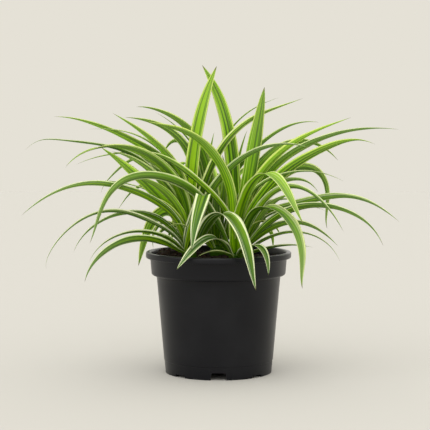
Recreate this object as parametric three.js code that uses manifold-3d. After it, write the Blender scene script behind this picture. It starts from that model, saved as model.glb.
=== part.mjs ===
// Potted spider plant: a black moulded nursery pot, peat, and three tufts of long striped leaves.
// Millimetres, +Z up. The origin is on the surface that the pot stands on, on the pot's axis.
// -Y is the front, +X the right.

import * as THREE from 'three';
import { mergeVertices } from 'three/addons/utils/BufferGeometryUtils.js';
import Module from 'manifold-3d';

const wasm = await Module();
wasm.setup();

// Pot
const POT_HEIGHT = 140;
const LIP_RADIUS = 84;
const LIP_HEIGHT = 7;
const LIP_ROUND = 1.4;
const COLLAR_TOP_RADIUS = 78.9;
const COLLAR_FOOT_RADIUS = 77.6;
const COLLAR_FOOT = 113;
const COLLAR_LEDGE = 1;
const COLLAR_ROUND = 3;
// Where the middle of a quarter round lies, as a share of its radius from its corner
const ARC_SHARE = 1 - Math.SQRT1_2;
const BODY_TOP_RADIUS = 71.6;
const BODY_FOOT_RADIUS = 63.2;
const FOOT_BAND_HEIGHT = 15;
const FOOT_BAND_STEP = 0.5;
const FOOT_RADIUS = 61.8;
const FOOT_RING_WIDTH = 4;
const WALL = 1.8;
const FLOOR_LIFT = 8;
const FLOOR_THICKNESS = 2.5;
const POT_SIDES = 48;

// Drainage notches round the foot: a tall and a low kind in turn, each wider at its foot
const TALL_NOTCH = { height: 8.3, footWidth: 18.5, topWidth: 15.5 };
const LOW_NOTCH = { height: 3, footWidth: 16, topWidth: 14.5 };
const NOTCH_COUNT = 8;
const NOTCH_BELOW = 1;
const DRAIN_RADIUS = 5;
const DRAIN_CIRCLE = 46;
const DRAIN_SIDES = 12;

// Peat
const SOIL_LEVEL = 131;
const SOIL_HEAP = 9;
const SOIL_HEAP_PLACE = [-58, 22];
const SOIL_HEAP_SPREAD = 42;
const SOIL_LUMP = 1.1;
// Lumps run as waves of these turns per millimetre, in radians
const SOIL_WAVES = { across: 0.31, depth: 0.27, slant: [-0.23, 0.17], start: 0.9 };
const SOIL_EDGE_WIDTH = 5;
const SOIL_EDGE_DROP = 4;
const SOIL_RINGS = 6;
const SOIL_SIDES = 24;
const CLEARANCE = 0.3;

// Crowns: where the leaves of each tuft are joined, with a short stock down in the peat
const CROWNS = {
  left: { x: -34, y: -6, top: 146.8 },
  right: { x: 20, y: -12, top: 143 },
  back: { x: -2, y: 28, top: 146.3 },
};
const STOCK_RADIUS = 9;
const STOCK_DEPTH = 34;
const STOCK_SIDES = 12;
// Outline of a stock: share of its radius, and millimetres up from its foot or down from its top
const STOCK_FOOT = [[0.6, 0], [0.97, 7]];
const STOCK_HEAD = [[0.97, 12], [0.7, 4], [0, 0]];
// An upright leaf springs from the middle of the stock near its top, a flat one from lower and further out
const ROOT_OFFSET = { upright: 1, flat: 6.5 };
const ROOT_DEPTH = { upright: 3, flat: 9 };

// Blades
const BLADE_THICKNESS = 1.3;
const BLADE_THINNING = 0.4;
const BLADE_STEP = 30;
const BLADE_MIN_STEPS = 5;
const KNOT_POWER = 0.7;
const BASE_SHARE = 0.42;
const WIDEST_AT = 0.25;
const BASE_FOLD = 38;
const MIDDLE_FOLD = 16;

// Leaf points are noted as they are seen from the front, by eyes 1690 mm before the pot's axis and
// 299 mm up: across and height are read on the plane through the axis, and between them stands the
// true depth behind that plane.
const EYE_DISTANCE = 1690;
const EYE_HEIGHT = 299;

// Each leaf: width, taper (6 is a spear, 2 a long whip), the compass direction in degrees that its
// back bends over (0 right, 90 back, 180 left, 270 front), its turn about its own length, and the
// points that it passes on its way to the tip, each as [across, depth, height].
const LEFT_LEAVES = [
  [16.5, 6, 90, 0, [-30.5, 4, 240], [-19.7, 10, 302], [-2, 14, 353.5]],
  [17, 1.8, 230, 25, [-62, 5, 241.5], [-110, 17, 272.8], [-152, 26, 289.4], [-190, 35, 295.3]],
  [15, 2.4, 225, 25, [-52, 2, 240], [-84, 6, 274.5], [-122, 10, 299.5]],
  [17, 2.4, 240, 22, [-62, -13, 235], [-100, -13, 257.5], [-140, -11, 259.3], [-177, -8, 236.5]],
  [18, 3, 230, 30, [-56, -8, 188], [-80, -8, 213.5], [-99, -6, 231], [-136, -2, 260.5]],
  [13, 4, 225, 30, [-50, -12, 194], [-70, -18, 214.5], [-98, -22, 227]],
  [14, 4, 215, 25, [-41, -4, 190], [-54, -4, 215], [-72, -4, 232]],
  [15, 5, 140, 20, [-37, 0, 190], [-46, 2, 216], [-60, 4, 242]],
  [12, 5, 90, 0, [-35, 3, 195], [-35, 8, 225], [-31, 12, 252]],
  [12, 1.9, 215, 70, [-66, -22, 192], [-104, -38, 211.3], [-145, -56, 218.5], [-190, -75, 207.6],
    [-228, -88, 181]],
  [12, 1.8, 225, 25, [-60, 4, 215], [-82, 2, 237.5], [-104, -2, 253], [-150, -20, 264.8],
    [-195, -45, 269.3], [-223.5, -60, 256.5]],
  [13, 3, 230, 30, [-50, -4, 198], [-72, -6, 227], [-98, -8, 246.5], [-124, -8, 255]],
  [8, 2, 200, 25, [-56, 10, 243], [-89, 14, 271.5], [-120, 16, 280.3], [-150, 18, 281]],
  [10.5, 1.8, 215, 50, [-66, -20, 167], [-92, -30, 179.5], [-122, -41, 186.3], [-172, -60, 166.5],
    [-199.5, -70, 119]],
  [12, 1.8, 215, 60, [-62, -8, 171.5], [-97, -14, 184.4], [-140, -20, 172], [-168, -24, 138]],
  [12, 2, 215, 35, [-60, -24, 154.5], [-88, -33, 162.3], [-122, -41, 155.8], [-150, -48, 127]],
  [13, 2.8, 215, 80, [-64, -30, 148.5], [-92, -43, 154], [-128, -56, 142], [-155, -64, 104]],
  [19, 4, 270, 0, [-26, -26, 178], [-17.5, -50, 204], [-24, -70, 183], [-29, -84, 158], [-32, -90, 140]],
  [19, 4, 290, 0, [-16, -26, 163], [6, -58, 182.5], [23.7, -86, 165], [34.5, -102, 134],
    [43.5, -108, 93.5]],
  [14, 1.9, 335, -50, [-17, -2, 212], [9, 3, 266], [40, 19, 293.5], [97, 40, 316.4]],
  [13, 2.6, 330, -40, [-10, -14, 205], [14, -10, 236.5], [50, -14, 258.8], [105, -16, 259]],
  [14, 3, 240, 25, [-48, -12, 176], [-64, -16, 194], [-88, -20, 204]],
  [14, 4, 225, 25, [-46, -2, 196], [-60, 2, 222], [-82, 6, 242]],
  [6, 3, 190, 10, [-34, -18, 166.5], [-46, -22, 171.5], [-60, -26, 167.5]],
];

const RIGHT_LEAVES = [
  [15, 3.5, 215, 35, [14.5, -26, 197], [4.5, -25, 234], [-22, -21, 267.5], [-50, -16, 282],
    [-84, -10, 290.5]],
  [12, 3.4, 210, 95, [-30, -26, 209.5], [-65, -36, 226], [-102, -48, 224.8], [-126, -52, 206.5],
    [-149, -56, 149]],
  [12, 2, 215, 35, [-20, -22, 217], [-45, -14, 237.5], [-68, -5, 249.5], [-112, 2, 253.5],
    [-164, 0, 240]],
  [15, 3.5, 225, -25, [6, -34, 146.5], [-8, -56, 155], [-28, -76, 143.3], [-49, -92, 118]],
  [9, 3, 225, 20, [6, -38, 137.5], [-7, -50, 139.5], [-25, -60, 133]],
  [15, 5, 95, 0, [19, -20, 152], [18, -21, 170], [15, -22, 192]],
  [13, 3.5, 300, 0, [38, -50, 146], [50.5, -68, 142], [56.5, -77, 127], [57.6, -80, 111.5]],
  [18, 4, 300, 10, [30, -34, 195], [54, -72, 229], [76.5, -108, 212], [98.3, -139, 171.5]],
  [17, 4, 310, 10, [38, -34, 176], [58, -60, 190.5], [84, -88, 172.5], [96.4, -112, 132],
    [97.2, -122, 96]],
  [17.5, 6, 90, 0, [16.3, 14, 238], [6, 20, 300], [-19, 24, 354.5]],
  [18, 6, 90, 0, [36, 8, 232], [44.3, 12, 281], [52.7, 14, 329.5]],
  [13, 1.9, 310, -40, [60, 8, 231], [80, 14, 250], [103, 24, 263.5], [128, 31, 273.5], [170, 42, 281.5],
    [208.6, 50, 280.3]],
  [15, 3, 300, -30, [70, -6, 226], [100, 0, 247.8], [125, 3, 260.2], [150, 5, 267.8], [181, 6, 263]],
  [15, 2, 310, -25, [52, -2, 233], [84, 4, 263.5], [115, 8, 280.2], [153, 10, 294.7]],
  [15, 3, 325, -60, [48, 18, 238.5], [88, 34, 266], [115, 41, 262.5], [138, 46, 244.3]],
  [10, 2, 330, -25, [58, -8, 222.5], [85, -10, 231.2], [108, -11, 232.3], [145, -12, 220.5]],
  [10, 2.2, 320, -80, [58, -20, 204], [88, -24, 215], [112, -27, 204], [130, -29, 185.6],
    [144.5, -30, 162.5]],
  [13, 2.3, 320, -70, [56, 10, 183.5], [95, 22, 196], [135, 31, 203.8], [172, 36, 198], [209, 42, 174]],
  [11.5, 2.4, 320, -75, [62, -4, 175.5], [105, 0, 192.6], [145, 3, 187.5], [172, 6, 172.3],
    [190.5, 8, 146.5]],
  [8, 2, 330, -25, [66, 10, 185.5], [104, 14, 192], [125, 16, 186]],
  [11, 3, 320, -35, [44, 4, 181.5], [60, 8, 196.5], [88, 12, 199]],
  [10, 2.6, 320, -75, [50, 8, 160], [80, 14, 173], [108, 18, 168.8], [138, 20, 146.2]],
  [9, 2, 325, -30, [50, -12, 151], [84, -22, 162], [116, -28, 155.5], [140.5, -32, 128]],
  [13, 3, 310, -30, [42, 0, 170], [58, 4, 192], [84, 8, 206]],
  [13, 4, 300, -25, [44, 4, 196], [60, 8, 222], [86, 12, 240]],
  [9, 2, 330, -30, [50, -4, 141.5], [78, -6, 146.8], [109, -8, 144.5]],
];

const BACK_LEAVES = [
  [15, 3, 225, 30, [-16, 24, 244], [-33, 24, 278.5], [-48, 24, 292], [-68, 24, 302], [-95, 24, 306.5]],
  [8, 2, 205, 20, [-25, 32, 255], [-50, 32, 285], [-73, 32, 300.5]],
  [15, 3, 225, 35, [-29, 18, 238], [-40, 19, 263], [-57, 20, 279.5], [-84, 21, 291], [-108, 22, 294.5]],
  [20, 3, 210, 100, [-30, 40, 169], [-62, 57, 185.5], [-83, 65, 160], [-93, 68, 122.5]],
  [8, 3, 150, 10, [-38, 50, 165], [-66, 60, 172], [-75.5, 66, 143]],
  [15, 3, 210, 85, [-20, 36, 240], [-47, 43, 268], [-64, 48, 251]],
  [11, 2.4, 205, 70, [-60, 32, 228], [-98, 38, 246.5], [-114, 40, 236], [-128, 42, 222],
    [-135.5, 44, 207]],
  [10, 2.2, 205, 75, [-50, 36, 205], [-86, 42, 216.5], [-103, 44, 206], [-116, 46, 188.5]],
  [7, 1.8, 170, 20, [-70, 32, 205], [-120, 36, 220.5], [-168, 38, 218.5]],
  [11, 2.2, 335, -45, [20, 40, 232], [50, 44, 265], [78, 46, 283.5], [116, 48, 288.8]],
  [8, 2, 340, -20, [-8, 34, 225], [16, 36, 283], [44, 38, 306.5], [70, 40, 317.5]],
  [6, 4, 90, 0, [-13, 36, 215], [-10.5, 38, 250], [-5, 40, 278]],
  [6, 4, 60, 0, [16, 34, 205], [22, 36, 240], [33, 38, 280]],
  [14, 3, 330, -90, [62, 32, 215], [99, 40, 237.5], [117, 44, 229.5], [125.5, 48, 203], [126, 52, 165.5]],
  [11, 2.4, 335, -75, [50, 24, 208], [92, 30, 223.4], [115, 34, 208]],
  [12, 3, 330, -95, [34, 46, 158], [54, 58, 167], [63, 66, 143]],
  [13, 3, 115, 10, [-11, 26, 190], [-15, 28, 225], [-22, 32, 254]],
  [13, 3, 65, -10, [5, 26, 190], [8, 28, 225], [4, 32, 252]],
  [13, 3, 90, 0, [-3, 20, 175], [-3, 20, 203], [-7, 20, 230]],
  [14, 3, 300, -20, [12, 20, 162], [21, 18, 192], [34, 16, 214]],
];

// The rest of each tuft stands behind what the front shows, spread evenly with seeded changes. A pair
// is the least and the most of a measure, and places are shares of the reach and of the rise.
const REAR = {
  left: { count: 3, seed: 31, lean: [116, 150], crest: [165, 185], reach: [52, 62], drop: [8, 20] },
  right: { count: 3, seed: 57, lean: [28, 60], crest: [165, 185], reach: [56, 66], drop: [8, 20] },
  back: { count: 12, seed: 20260, lean: [46, 136], crest: [165, 240], reach: [106, 124], drop: [25, 80] },
};
const REAR_LEAN_PLACE = [0.2, 0.8];
const REAR_STEEP_LOSS = 0.1;
const REAR_WIDTH = [10, 14];
const REAR_TURN = [-25, 25];
const REAR_TAPER = 3;
const REAR_BASE = 150;
const REAR_SHOULDER = { reach: 0.22, rise: 0.62 };
const REAR_CREST_PLACE = 0.6;
const SEED_FACTOR = 1664525;
const SEED_STEP = 1013904223;
const SEED_RANGE = 2 ** 32;

const BLACK_POLYPROPYLENE = { name: 'black_polypropylene', color: 0x232426, roughness: 0.5, metalness: 0 };
const PEAT = { name: 'peat', color: 0x2b1f17, roughness: 0.95, metalness: 0 };
const LEAF_GREEN = { name: 'leaf', color: 0x5d8a2a, roughness: 0.45, metalness: 0 };

// Corners of a mesh closer than this are one corner, and a shorter edge left by a cut is closed up
const MERGE_DISTANCE = 1e-4;
const SHORTEST_EDGE = 0.02;

const radians = THREE.MathUtils.degToRad;

function toSolid(geometry) {
  const bare = geometry.clone();
  bare.deleteAttribute('normal');
  bare.deleteAttribute('uv');
  const merged = mergeVertices(bare, MERGE_DISTANCE);
  const mesh = new wasm.Mesh({
    numProp: 3,
    vertProperties: new Float32Array(merged.attributes.position.array),
    triVerts: new Uint32Array(merged.index.array),
    tolerance: SHORTEST_EDGE,
  });
  return new wasm.Manifold(mesh);
}

function toGeometry(solid) {
  const mesh = solid.getMesh();
  const geometry = new THREE.BufferGeometry();
  geometry.setAttribute('position', new THREE.BufferAttribute(new Float32Array(mesh.vertProperties), 3));
  geometry.setIndex(new THREE.BufferAttribute(new Uint32Array(mesh.triVerts), 1));
  geometry.computeVertexNormals();
  return geometry;
}

function namedMesh(name, solid, finish) {
  const mesh = new THREE.Mesh(toGeometry(solid), new THREE.MeshStandardMaterial(finish));
  mesh.name = name;
  return mesh;
}

// A profile of [radius, height] pairs turned round the upright axis
function turned(profile, sides) {
  const points = profile.map(([radius, height]) => new THREE.Vector2(radius, height));
  const geometry = new THREE.LatheGeometry(points, sides);
  geometry.rotateX(Math.PI / 2);
  return geometry;
}

// Height on the inner face of the pot's wall, as the radius at that height
function innerRadius(height) {
  if (height > COLLAR_FOOT) {
    const share = (height - COLLAR_FOOT) / (POT_HEIGHT - LIP_HEIGHT - COLLAR_FOOT);
    return COLLAR_FOOT_RADIUS - WALL + share * (COLLAR_TOP_RADIUS - COLLAR_FOOT_RADIUS);
  }
  const share = (height - FOOT_BAND_HEIGHT) / (COLLAR_FOOT - FOOT_BAND_HEIGHT);
  return BODY_FOOT_RADIUS - WALL + share * (BODY_TOP_RADIUS - BODY_FOOT_RADIUS);
}

function potProfile() {
  const lipFoot = POT_HEIGHT - LIP_HEIGHT;
  const floorTop = FLOOR_LIFT + FLOOR_THICKNESS;
  return [
    [0, FLOOR_LIFT],
    [FOOT_RADIUS - FOOT_RING_WIDTH, FLOOR_LIFT],
    [FOOT_RADIUS - FOOT_RING_WIDTH, 0],
    [FOOT_RADIUS, 0],
    [BODY_FOOT_RADIUS - FOOT_BAND_STEP, FOOT_BAND_HEIGHT - FOOT_BAND_STEP],
    [BODY_FOOT_RADIUS, FOOT_BAND_HEIGHT],
    [BODY_TOP_RADIUS, COLLAR_FOOT - COLLAR_LEDGE],
    [COLLAR_FOOT_RADIUS - COLLAR_ROUND, COLLAR_FOOT],
    [COLLAR_FOOT_RADIUS - COLLAR_ROUND * ARC_SHARE, COLLAR_FOOT + COLLAR_ROUND * ARC_SHARE],
    [COLLAR_FOOT_RADIUS, COLLAR_FOOT + COLLAR_ROUND],
    [COLLAR_TOP_RADIUS, lipFoot],
    [LIP_RADIUS - LIP_ROUND, lipFoot],
    [LIP_RADIUS, lipFoot + LIP_ROUND],
    [LIP_RADIUS, POT_HEIGHT - LIP_ROUND],
    [LIP_RADIUS - LIP_ROUND, POT_HEIGHT],
    [innerRadius(lipFoot) + WALL + LIP_ROUND, POT_HEIGHT],
    [innerRadius(lipFoot) + WALL / 2, POT_HEIGHT - LIP_ROUND],
    [innerRadius(lipFoot), lipFoot],
    [innerRadius(COLLAR_FOOT + COLLAR_LEDGE), COLLAR_FOOT + WALL],
    [innerRadius(COLLAR_FOOT), COLLAR_FOOT - WALL],
    [innerRadius(floorTop), floorTop],
    [0, floorTop],
  ];
}

// A notch is a block with sloping sides, cut through the foot ring at one compass angle
function notchCutter({ height, footWidth, topWidth }, angle) {
  const outline = new THREE.Shape([
    new THREE.Vector2(-footWidth / 2, -NOTCH_BELOW),
    new THREE.Vector2(footWidth / 2, -NOTCH_BELOW),
    new THREE.Vector2(topWidth / 2, height),
    new THREE.Vector2(-topWidth / 2, height),
  ]);
  const geometry = new THREE.ExtrudeGeometry(outline, { depth: 3 * FOOT_RING_WIDTH, bevelEnabled: false });
  geometry.rotateX(Math.PI / 2);
  geometry.translate(0, -(FOOT_RADIUS - 2 * FOOT_RING_WIDTH), 0);
  geometry.rotateZ(angle);
  return toSolid(geometry);
}

function makePot() {
  let pot = toSolid(turned(potProfile(), POT_SIDES));
  for (let turn = 0; turn < NOTCH_COUNT; turn += 1) {
    const angle = (turn * 2 * Math.PI) / NOTCH_COUNT;
    const tall = turn % 2 === 0;
    pot = pot.subtract(notchCutter(tall ? TALL_NOTCH : LOW_NOTCH, angle));
    if (tall) {
      const drain = new THREE.CylinderGeometry(DRAIN_RADIUS, DRAIN_RADIUS, 3 * FLOOR_LIFT, DRAIN_SIDES);
      drain.rotateX(Math.PI / 2);
      drain.translate(0, -DRAIN_CIRCLE, FLOOR_LIFT);
      drain.rotateZ(angle);
      pot = pot.subtract(toSolid(drain));
    }
  }
  return pot;
}

// The peat is heaped up to the rim behind the left tuft and lies lower on the right
function soilRise(x, y) {
  const fromHeap = Math.hypot(x - SOIL_HEAP_PLACE[0], y - SOIL_HEAP_PLACE[1]);
  const heap = SOIL_HEAP * Math.exp(-((fromHeap / SOIL_HEAP_SPREAD) ** 2));
  const { across, depth, slant, start } = SOIL_WAVES;
  const rows = Math.sin(across * x + start) * Math.cos(depth * y);
  const slanted = Math.sin(slant[0] * x + slant[1] * y);
  return heap + SOIL_LUMP * (rows + slanted);
}

function makeSoil() {
  const floor = FLOOR_LIFT + FLOOR_THICKNESS + CLEARANCE;
  const edge = innerRadius(SOIL_LEVEL) - CLEARANCE;
  const profile = [
    [0, floor],
    [innerRadius(floor) - CLEARANCE, floor],
    [innerRadius(COLLAR_FOOT) - CLEARANCE, COLLAR_FOOT - WALL + CLEARANCE],
    [innerRadius(COLLAR_FOOT + COLLAR_LEDGE) - CLEARANCE, COLLAR_FOOT + WALL + 2 * CLEARANCE],
    [edge, SOIL_LEVEL - SOIL_EDGE_DROP],
  ];
  for (let ring = 0; ring <= SOIL_RINGS; ring += 1) {
    profile.push([(edge - SOIL_EDGE_WIDTH) * (1 - ring / SOIL_RINGS), SOIL_LEVEL]);
  }
  const geometry = turned(profile, SOIL_SIDES);
  const position = geometry.attributes.position;
  for (let i = 0; i < position.count; i += 1) {
    if (position.getZ(i) > SOIL_LEVEL - CLEARANCE) {
      const rise = soilRise(position.getX(i), position.getY(i));
      position.setZ(i, SOIL_LEVEL + rise);
    }
  }
  let soil = toSolid(geometry);
  const bore = STOCK_RADIUS + CLEARANCE;
  for (const crown of Object.values(CROWNS)) {
    const depth = STOCK_DEPTH + CLEARANCE;
    const hole = new THREE.CylinderGeometry(bore, bore, 2 * depth, STOCK_SIDES);
    hole.rotateX(Math.PI / 2);
    hole.translate(crown.x, crown.y, crown.top);
    soil = soil.subtract(toSolid(hole));
  }
  return soil;
}

function makeStock(crown) {
  const bottom = crown.top - STOCK_DEPTH;
  const geometry = turned([
    [0, bottom],
    ...STOCK_FOOT.map(([share, up]) => [STOCK_RADIUS * share, bottom + up]),
    ...STOCK_HEAD.map(([share, down]) => [STOCK_RADIUS * share, crown.top - down]),
  ], STOCK_SIDES);
  geometry.translate(crown.x, crown.y, 0);
  return toSolid(geometry);
}

function fromFront([across, depth, height]) {
  const scale = 1 + depth / EYE_DISTANCE;
  return new THREE.Vector3(across * scale, depth, EYE_HEIGHT + (height - EYE_HEIGHT) * scale);
}

// The one smooth curve through all its points: a polynomial, with the points spaced by the
// distances between them
class LeafCurve extends THREE.Curve {
  constructor(points) {
    super();
    this.points = points;
    this.knots = [0];
    for (let i = 1; i < points.length; i += 1) {
      this.knots.push(this.knots[i - 1] + points[i].distanceTo(points[i - 1]) ** KNOT_POWER);
    }
    this.knots = this.knots.map((knot) => knot / this.knots.at(-1));
  }

  getPoint(t, target = new THREE.Vector3()) {
    target.set(0, 0, 0);
    this.points.forEach((point, i) => {
      let weight = 1;
      this.knots.forEach((knot, j) => {
        if (j !== i) weight *= (t - knot) / (this.knots[i] - knot);
      });
      target.addScaledVector(point, weight);
    });
    return target;
  }
}

function leafCurve(crown, points) {
  const first = points[0];
  const out = new THREE.Vector2(first.x - crown.x, first.y - crown.y);
  const slant = Math.atan2(out.length(), first.z - crown.top) / (Math.PI / 2);
  const offset = THREE.MathUtils.lerp(ROOT_OFFSET.upright, ROOT_OFFSET.flat, slant);
  const depth = THREE.MathUtils.lerp(ROOT_DEPTH.upright, ROOT_DEPTH.flat, slant);
  out.setLength(offset);
  const root = new THREE.Vector3(crown.x + out.x, crown.y + out.y, crown.top - depth);
  return new LeafCurve([root, ...points]);
}

// Share of the full width at a share t of the length
function widthShare(t, taper) {
  const rise = Math.min(1, t / WIDEST_AT);
  const swell = BASE_SHARE + (1 - BASE_SHARE) * rise * rise * (3 - 2 * rise);
  return swell * (1 - t ** taper);
}

// A blade is folded along its midrib: its section is left edge, rib top, right edge, rib foot
function bladeGeometry(crown, [width, taper, lean, turn, ...points], places) {
  const curve = leafCurve(crown, places ?? points.map(fromFront));
  const steps = Math.max(BLADE_MIN_STEPS, Math.round(curve.getLength() / BLADE_STEP));
  const side = new THREE.Vector3(Math.sin(radians(lean)), -Math.cos(radians(lean)), 0);
  const positions = [];
  for (let step = 0; step < steps; step += 1) {
    const t = step / steps;
    const centre = curve.getPointAt(t);
    const along = curve.getTangentAt(t);
    const flat = side.clone().addScaledVector(along, -side.dot(along)).normalize();
    const roll = radians(turn) * (1 - (1 - t) ** 2);
    const across = flat.applyAxisAngle(along, roll);
    const up = across.clone().cross(along);
    const half = (width / 2) * widthShare(t, taper);
    const fold = radians(MIDDLE_FOLD + (BASE_FOLD - MIDDLE_FOLD) * (1 - t) ** 3);
    const reach = half * Math.cos(fold);
    const lift = half * Math.sin(fold);
    const thickness = BLADE_THICKNESS * (1 - BLADE_THINNING * t);
    const left = centre.clone().addScaledVector(across, -reach).addScaledVector(up, lift);
    const right = centre.clone().addScaledVector(across, reach).addScaledVector(up, lift);
    const top = centre.clone();
    const foot = centre.clone().addScaledVector(up, -thickness);
    for (const corner of [left, foot, right, top]) positions.push(...corner.toArray());
  }
  positions.push(...curve.getPointAt(1).toArray());
  const index = [0, 1, 2, 0, 2, 3];
  for (let step = 0; step < steps - 1; step += 1) {
    const here = step * 4;
    const next = here + 4;
    // Both faces of each half share the diagonal from the edge here to the rib ahead
    index.push(here, next + 1, here + 1, here, next, next + 1);
    index.push(here + 1, next + 1, here + 2, next + 1, next + 2, here + 2);
    index.push(here + 2, next + 3, here + 3, here + 2, next + 2, next + 3);
    index.push(here + 3, next + 3, here, next + 3, next, here);
  }
  const last = (steps - 1) * 4;
  const tip = steps * 4;
  for (let corner = 0; corner < 4; corner += 1) {
    index.push(last + corner, tip, last + ((corner + 1) % 4));
  }
  const geometry = new THREE.BufferGeometry();
  geometry.setAttribute('position', new THREE.BufferAttribute(new Float32Array(positions), 3));
  geometry.setIndex(index);
  return geometry;
}

// Whole numbers under the range in a fixed order, as shares from 0 to 1
function seededShares(seed) {
  let state = seed;
  return () => {
    state = (state * SEED_FACTOR + SEED_STEP) % SEED_RANGE;
    return state / SEED_RANGE;
  };
}

// Rear leaves: given by true places, since nothing of them is read from the front
function rearLeaves(crown, rear) {
  const share = seededShares(rear.seed);
  const between = ([least, most]) => THREE.MathUtils.lerp(least, most, share());
  const leaves = [];
  for (let i = 0; i < rear.count; i += 1) {
    const lean = THREE.MathUtils.lerp(...rear.lean, (i + between(REAR_LEAN_PLACE)) / rear.count);
    const steep = share();
    const crest = THREE.MathUtils.lerp(...rear.crest, steep);
    const reach = between(rear.reach) * (1 - REAR_STEEP_LOSS * steep);
    const drop = between(rear.drop);
    const width = between(REAR_WIDTH);
    const turn = between(REAR_TURN);
    const at = (distance, height) => new THREE.Vector3(
      crown.x + Math.cos(radians(lean)) * distance,
      crown.y + Math.sin(radians(lean)) * distance,
      height,
    );
    const places = [
      at(REAR_SHOULDER.reach * reach, THREE.MathUtils.lerp(REAR_BASE, crest, REAR_SHOULDER.rise)),
      at(REAR_CREST_PLACE * reach, crest),
      at(reach, crest - drop),
    ];
    leaves.push(bladeGeometry(crown, [width, REAR_TAPER, lean, turn], places));
  }
  return leaves;
}

// Blades sunk in their stock and fused. Only the outermost skin is kept, which fills any hollow
// that the fusing closes.
function makeTuft(crown, table, rear) {
  const blades = [...table.map((row) => bladeGeometry(crown, row)), ...rearLeaves(crown, rear)];
  let tuft = makeStock(crown);
  for (const blade of blades) tuft = tuft.add(toSolid(blade));
  const bodies = tuft.decompose();
  return bodies.reduce((most, body) => (body.volume() > most.volume() ? body : most));
}

const plant = new THREE.Group();
plant.add(namedMesh('pot', makePot(), BLACK_POLYPROPYLENE));
plant.add(namedMesh('soil', makeSoil(), PEAT));
plant.add(namedMesh('tuft_left', makeTuft(CROWNS.left, LEFT_LEAVES, REAR.left), LEAF_GREEN));
plant.add(namedMesh('tuft_right', makeTuft(CROWNS.right, RIGHT_LEAVES, REAR.right), LEAF_GREEN));
plant.add(namedMesh('tuft_back', makeTuft(CROWNS.back, BACK_LEAVES, REAR.back), LEAF_GREEN));

export default plant;
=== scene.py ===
"""Spider plant in a black nursery pot: the finished look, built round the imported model.

Sizes are millimetres, as in the model, and are turned to metres where a mesh is made. +Z is up,
-Y is the front and +X the right. The leaves stand where the model's leaves stand.
"""

import math
import random

import bpy
import numpy as np
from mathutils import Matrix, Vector, noise


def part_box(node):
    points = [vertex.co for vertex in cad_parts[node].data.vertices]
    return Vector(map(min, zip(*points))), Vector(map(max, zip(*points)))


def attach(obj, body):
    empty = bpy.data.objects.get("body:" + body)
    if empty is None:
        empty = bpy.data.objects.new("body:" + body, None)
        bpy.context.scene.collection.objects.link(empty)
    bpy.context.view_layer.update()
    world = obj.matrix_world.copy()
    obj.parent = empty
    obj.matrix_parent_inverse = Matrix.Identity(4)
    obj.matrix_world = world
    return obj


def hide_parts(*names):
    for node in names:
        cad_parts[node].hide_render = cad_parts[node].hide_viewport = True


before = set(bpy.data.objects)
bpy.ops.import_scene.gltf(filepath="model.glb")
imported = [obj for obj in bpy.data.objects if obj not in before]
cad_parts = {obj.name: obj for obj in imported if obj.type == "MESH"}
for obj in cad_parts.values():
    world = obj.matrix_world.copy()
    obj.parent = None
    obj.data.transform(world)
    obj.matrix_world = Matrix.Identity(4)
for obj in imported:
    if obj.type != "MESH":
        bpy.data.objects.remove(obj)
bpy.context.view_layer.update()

bl_info = {
    "name": "Potted spider plant",
    "version": (1, 0, 0),
    "blender": (4, 5, 0),
    "location": "3D View > Sidebar > Plant",
    "description": "Builds a spider plant in a nursery pot, with its peat and a plain studio",
    "category": "Object",
}

MM = 0.001
BODY = "root"

# Sizes of the model that the finished pieces keep
POT_REACH = np.array(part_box("pot")[1]) / MM
POT_HEIGHT = float(POT_REACH[2])
LIP_RADIUS = float(POT_REACH[0])
LIP_HEIGHT = 7.0
COLLAR_TOP_RADIUS = 78.9
COLLAR_FOOT_RADIUS = 77.6
COLLAR_FOOT = 113.0
# Just over and just under the ledge at the collar's foot
OVER_LEDGE = COLLAR_FOOT + 1
UNDER_LEDGE = COLLAR_FOOT - 1
BODY_TOP_RADIUS = 71.6
BODY_FOOT_RADIUS = 63.2
FOOT_BAND_HEIGHT = 15.0
FOOT_BAND_STEP = 0.5
FOOT_RADIUS = 61.8
FOOT_RING_WIDTH = 4.0
WALL = 1.8
FLOOR_LIFT = 8.0
FLOOR_THICKNESS = 2.5
CLEARANCE = 0.3
# A profile's points nearer to the axis than this are on it
ON_AXIS = 1e-6

# Small bends of the pot's section, most of which the model leaves sharp
LIP_UNDER_ROUND = 1.4
MOUTH_ROUND = 2.6
MOUTH_SETBACK = 3.2
MOUTH_STOP = 165
RING_BEND = 1.0
UNDERSIDE_FLAT = 6.0
# Hollow corners, as points out and up from the corner
LEDGE_HOLLOW = ((0, -1.4), (0.5, -0.3), (1.4, 0))
LIP_HOLLOW = ((0, -0.8), (0.3, -0.2), (1, 0))
BODY_ROWS = 12
# Edges that turn by more than this many degrees are shaded sharp
SHARP_ANGLE = 35

# Drainage: height, width at the foot and width at the top of each kind of notch
TALL_NOTCH = (8.3, 18.5, 15.5)
LOW_NOTCH = (3.0, 16.0, 14.5)
NOTCH_COUNT = 8
# A notch is cut from this far under the foot
NOTCH_BELOW = 1
DRAIN_RADIUS = 5.0
DRAIN_CIRCLE = 46.0
DRAIN_SIDES = 32

# Peat, as in the model: a level with a heap behind the left tuft, and long low lumps
SOIL_LEVEL = 131.0
SOIL_HEAP = 9.0
SOIL_HEAP_PLACE = (-58.0, 22.0)
SOIL_HEAP_SPREAD = 42.0
SOIL_LUMP = 1.1
# Lumps run as waves of these turns per millimetre, in radians
SOIL_WAVES = (0.31, 0.27)
SOIL_SLANT = (-0.23, 0.17)
SOIL_WAVE_START = 0.9
SOIL_EDGE_WIDTH = 5.0
SOIL_EDGE_DROP = 4.0

# Its finer mesh, with clods and grit: width, height and the layer of noise that is read
SOIL_RINGS = 56
SOIL_SIDES = 150
CLOD = (9.0, 1.3, 4.0)
GRIT = (1.7, 0.35, 9.0)
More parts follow.
